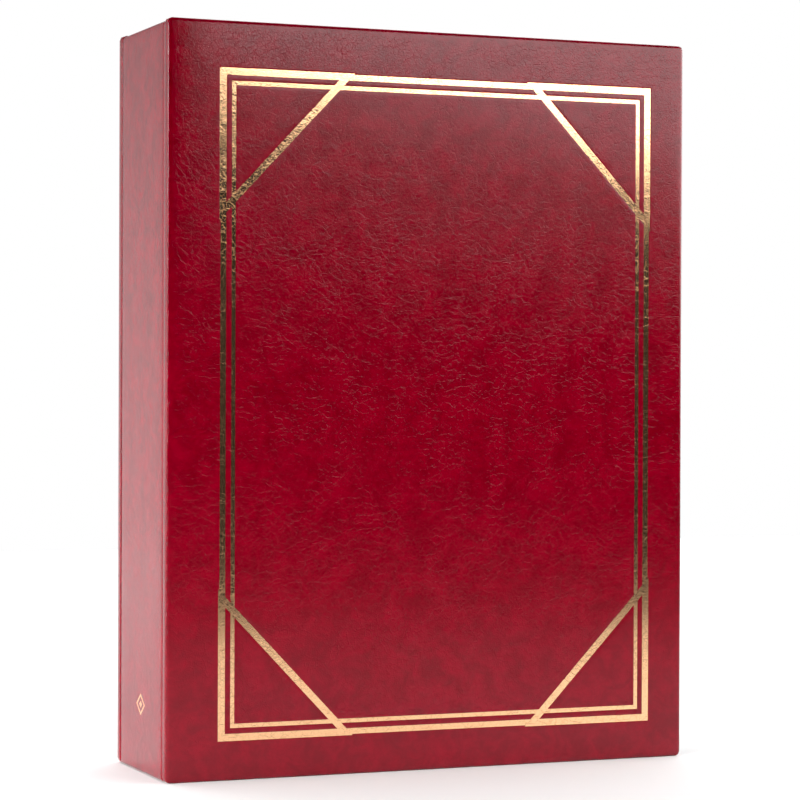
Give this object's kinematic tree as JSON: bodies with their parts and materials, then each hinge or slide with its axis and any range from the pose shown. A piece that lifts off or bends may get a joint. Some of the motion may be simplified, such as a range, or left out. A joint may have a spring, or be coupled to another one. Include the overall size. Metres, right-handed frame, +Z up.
{
  "type": "stamp album",
  "caption": "Padded leatherette stamp album with a gold foil frame, hinged covers and sewn black card leaves with clear pocket strips.",
  "frame": {"origin": "under the middle of the closed album, on the surface that its tail edge stands on", "axes": "+Z up, from tail to head; front cover faces -Y; spine at -X and fore edge at +X"},
  "size_m": [0.231, 0.07, 0.305],
  "materials": {
    "leatherette": "satin",
    "gold_foil": "gloss",
    "foam": "matte",
    "greyboard": "matte",
    "endpaper": "matte",
    "leaf_card": "matte",
    "clear_film": "gloss",
    "mull": "matte",
    "tape": "matte",
    "thread": "matte",
    "band": "satin"
  },
  "bodies": {
    "spine": {"spine_skin": "leatherette", "spine_board": "greyboard", "spine_lining": "endpaper", "spine_mark": "gold_foil", "mull_cloth": "mull", "sewing_tapes": "tape", "sewing_thread": "thread", "head_band": "band", "tail_band": "band"},
    "front_cover": {"front_skin": "leatherette", "front_padding": "foam", "front_board": "greyboard", "front_pastedown": "endpaper", "front_foil_frame": "gold_foil"},
    "back_cover": {"back_skin": "leatherette", "back_padding": "foam", "back_board": "greyboard", "back_pastedown": "endpaper"},
    "front_flyleaf": {"front_flyleaf": "endpaper"},
    "back_flyleaf": {"back_flyleaf": "endpaper"},
    "folio_01": {"folio_01": "leaf_card", "strips_01": "clear_film"},
    "folio_02": {"folio_02": "leaf_card", "strips_02": "clear_film"},
    "folio_03": {"folio_03": "leaf_card", "strips_03": "clear_film"},
    "folio_04": {"folio_04": "leaf_card", "strips_04": "clear_film"},
    "folio_05": {"folio_05": "leaf_card", "strips_05": "clear_film"},
    "folio_06": {"folio_06": "leaf_card", "strips_06": "clear_film"},
    "folio_07": {"folio_07": "leaf_card", "strips_07": "clear_film"},
    "folio_08": {"folio_08": "leaf_card", "strips_08": "clear_film"},
    "folio_09": {"folio_09": "leaf_card", "strips_09": "clear_film"},
    "folio_10": {"folio_10": "leaf_card", "strips_10": "clear_film"},
    "folio_11": {"folio_11": "leaf_card", "strips_11": "clear_film"},
    "folio_12": {"folio_12": "leaf_card", "strips_12": "clear_film"},
    "folio_13": {"folio_13": "leaf_card", "strips_13": "clear_film"},
    "folio_14": {"folio_14": "leaf_card", "strips_14": "clear_film"},
    "folio_15": {"folio_15": "leaf_card", "strips_15": "clear_film"},
    "folio_16": {"folio_16": "leaf_card", "strips_16": "clear_film"}
  },
  "joints": [
    {"name": "front_cover_hinge", "type": "hinge", "parent": "spine", "child": "front_cover", "pos_m": [-0.1155, -0.0293, 0.1525], "axis": [0, 0, -1], "range_deg": [0, 180]},
    {"name": "back_cover_hinge", "type": "hinge", "parent": "spine", "child": "back_cover", "pos_m": [-0.1155, 0.0293, 0.1525], "axis": [0, 0, 1], "range_deg": [0, 180]},
    {"name": "front_flyleaf_hinge", "type": "hinge", "parent": "spine", "child": "front_flyleaf", "pos_m": [-0.1107, -0.02842, 0.1525], "axis": [0, 0, -1], "range_deg": [0, 76]},
    {"name": "back_flyleaf_hinge", "type": "hinge", "parent": "spine", "child": "back_flyleaf", "pos_m": [-0.1107, 0.02842, 0.1525], "axis": [0, 0, 1], "range_deg": [0, 76]},
    {"name": "folio_01_hinge", "type": "hinge", "parent": "spine", "child": "folio_01", "pos_m": [-0.1107, -0.02625, 0.1525], "axis": [0, 0, -1], "range_deg": [0, 64.01]},
    {"name": "folio_02_hinge", "type": "hinge", "parent": "spine", "child": "folio_02", "pos_m": [-0.1107, -0.02275, 0.1525], "axis": [0, 0, -1], "range_deg": [0, 56.01]},
    {"name": "folio_03_hinge", "type": "hinge", "parent": "spine", "child": "folio_03", "pos_m": [-0.1107, -0.01925, 0.1525], "axis": [0, 0, -1], "range_deg": [0, 48.01]},
    {"name": "folio_04_hinge", "type": "hinge", "parent": "spine", "child": "folio_04", "pos_m": [-0.1107, -0.01575, 0.1525], "axis": [0, 0, -1], "range_deg": [0, 40.01]},
    {"name": "folio_05_hinge", "type": "hinge", "parent": "spine", "child": "folio_05", "pos_m": [-0.1107, -0.01225, 0.1525], "axis": [0, 0, -1], "range_deg": [0, 15]},
    {"name": "folio_06_hinge", "type": "hinge", "parent": "spine", "child": "folio_06", "pos_m": [-0.1107, -0.00875, 0.1525], "axis": [0, 0, -1], "range_deg": [0, 11.01]},
    {"name": "folio_07_hinge", "type": "hinge", "parent": "spine", "child": "folio_07", "pos_m": [-0.1107, -0.00525, 0.1525], "axis": [0, 0, -1], "range_deg": [0, 7.51]},
    {"name": "folio_08_hinge", "type": "hinge", "parent": "spine", "child": "folio_08", "pos_m": [-0.1107, -0.00175, 0.1525], "axis": [0, 0, -1], "range_deg": [0, 4]},
    {"name": "folio_09_hinge", "type": "hinge", "parent": "spine", "child": "folio_09", "pos_m": [-0.1107, 0.00175, 0.1525], "axis": [0, 0, 1], "range_deg": [0, 4]},
    {"name": "folio_10_hinge", "type": "hinge", "parent": "spine", "child": "folio_10", "pos_m": [-0.1107, 0.00525, 0.1525], "axis": [0, 0, 1], "range_deg": [0, 7.51]},
    {"name": "folio_11_hinge", "type": "hinge", "parent": "spine", "child": "folio_11", "pos_m": [-0.1107, 0.00875, 0.1525], "axis": [0, 0, 1], "range_deg": [0, 11.01]},
    {"name": "folio_12_hinge", "type": "hinge", "parent": "spine", "child": "folio_12", "pos_m": [-0.1107, 0.01225, 0.1525], "axis": [0, 0, 1], "range_deg": [0, 15]},
    {"name": "folio_13_hinge", "type": "hinge", "parent": "spine", "child": "folio_13", "pos_m": [-0.1107, 0.01575, 0.1525], "axis": [0, 0, 1], "range_deg": [0, 40.01]},
    {"name": "folio_14_hinge", "type": "hinge", "parent": "spine", "child": "folio_14", "pos_m": [-0.1107, 0.01925, 0.1525], "axis": [0, 0, 1], "range_deg": [0, 48.01]},
    {"name": "folio_15_hinge", "type": "hinge", "parent": "spine", "child": "folio_15", "pos_m": [-0.1107, 0.02275, 0.1525], "axis": [0, 0, 1], "range_deg": [0, 56.01]},
    {"name": "folio_16_hinge", "type": "hinge", "parent": "spine", "child": "folio_16", "pos_m": [-0.1107, 0.02625, 0.1525], "axis": [0, 0, 1], "range_deg": [0, 64.01]}
  ],
  "couplings": [
    {"joint": "front_flyleaf_hinge", "follows": "front_cover_hinge", "ratio": 0.42222},
    {"joint": "back_flyleaf_hinge", "follows": "back_cover_hinge", "ratio": 0.42222},
    {"joint": "folio_01_hinge", "follows": "front_cover_hinge", "ratio": 0.35556},
    {"joint": "folio_02_hinge", "follows": "front_cover_hinge", "ratio": 0.31111},
    {"joint": "folio_03_hinge", "follows": "front_cover_hinge", "ratio": 0.26667},
    {"joint": "folio_04_hinge", "follows": "front_cover_hinge", "ratio": 0.22222},
    {"joint": "folio_05_hinge", "follows": "front_cover_hinge", "ratio": 0.08333},
    {"joint": "folio_06_hinge", "follows": "front_cover_hinge", "ratio": 0.06111},
    {"joint": "folio_07_hinge", "follows": "front_cover_hinge", "ratio": 0.04167},
    {"joint": "folio_08_hinge", "follows": "front_cover_hinge", "ratio": 0.02222},
    {"joint": "folio_09_hinge", "follows": "back_cover_hinge", "ratio": 0.02222},
    {"joint": "folio_10_hinge", "follows": "back_cover_hinge", "ratio": 0.04167},
    {"joint": "folio_11_hinge", "follows": "back_cover_hinge", "ratio": 0.06111},
    {"joint": "folio_12_hinge", "follows": "back_cover_hinge", "ratio": 0.08333},
    {"joint": "folio_13_hinge", "follows": "back_cover_hinge", "ratio": 0.22222},
    {"joint": "folio_14_hinge", "follows": "back_cover_hinge", "ratio": 0.26667},
    {"joint": "folio_15_hinge", "follows": "back_cover_hinge", "ratio": 0.31111},
    {"joint": "folio_16_hinge", "follows": "back_cover_hinge", "ratio": 0.35556}
  ]
}
